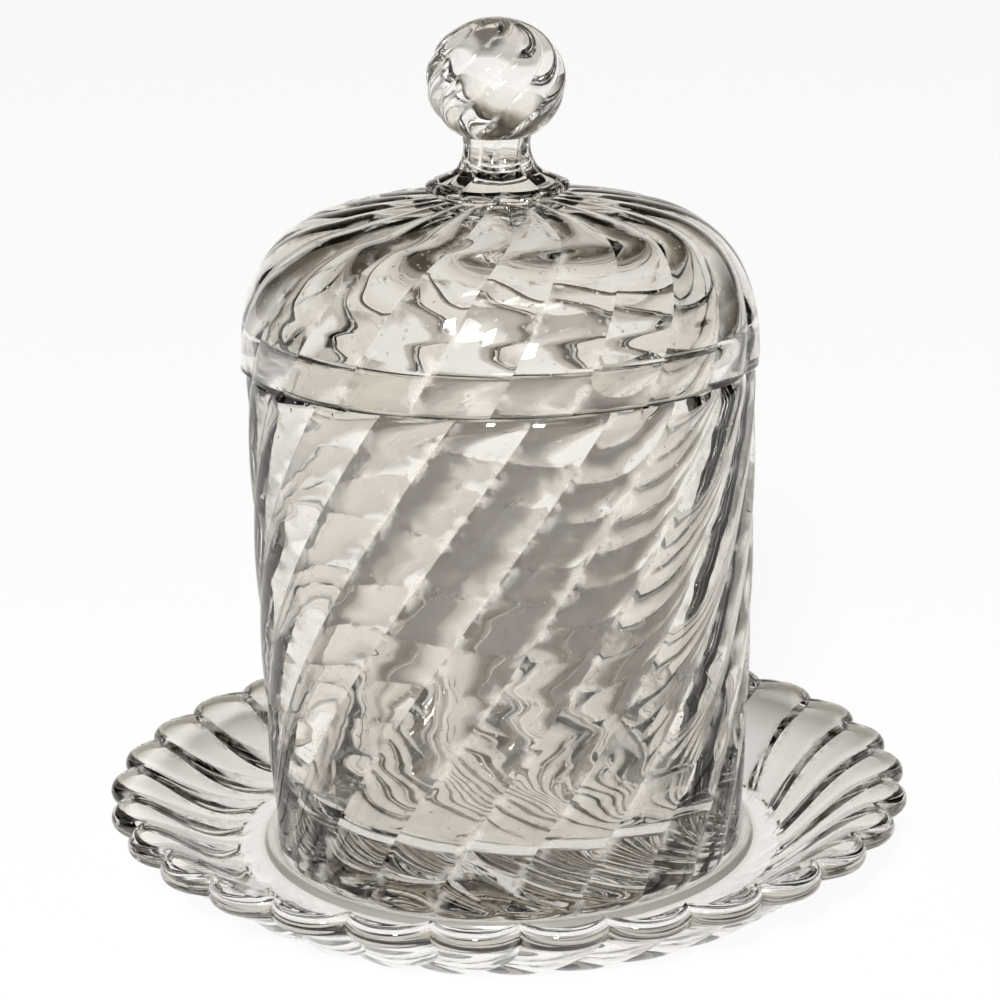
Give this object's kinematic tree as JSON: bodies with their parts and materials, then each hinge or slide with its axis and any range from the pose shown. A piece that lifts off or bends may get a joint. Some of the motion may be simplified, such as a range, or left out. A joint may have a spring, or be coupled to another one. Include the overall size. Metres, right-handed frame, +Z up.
{
  "type": "covered candy dish",
  "caption": "Swirled clear-glass candy jar with a domed lift-off lid and ball finial, standing in a scalloped ringed underplate.",
  "frame": {"origin": "middle of the underplate's foot, on the table that it stands on", "axes": "+Z up through jar, lid and finial; -Y faces the viewer of the picture and +X is to the viewer's right"},
  "size_m": [0.1654, 0.1648, 0.1745],
  "materials": {
    "crystal": "fire-polished clear pressed crystal"
  },
  "bodies": {
    "plate_body": {"underplate": "crystal"},
    "jar_body": {"jar": "crystal"},
    "lid_body": {"lid": "crystal", "finial": "crystal"}
  },
  "joints": [
    {"name": "jar_lift", "type": "slide", "parent": "plate_body", "child": "jar_body", "axis": [0, 0, 1], "range_m": [0, 0.06]},
    {"name": "lid_lift", "type": "slide", "parent": "jar_body", "child": "lid_body", "axis": [0, 0, 1], "range_m": [0, 0.08]}
  ]
}
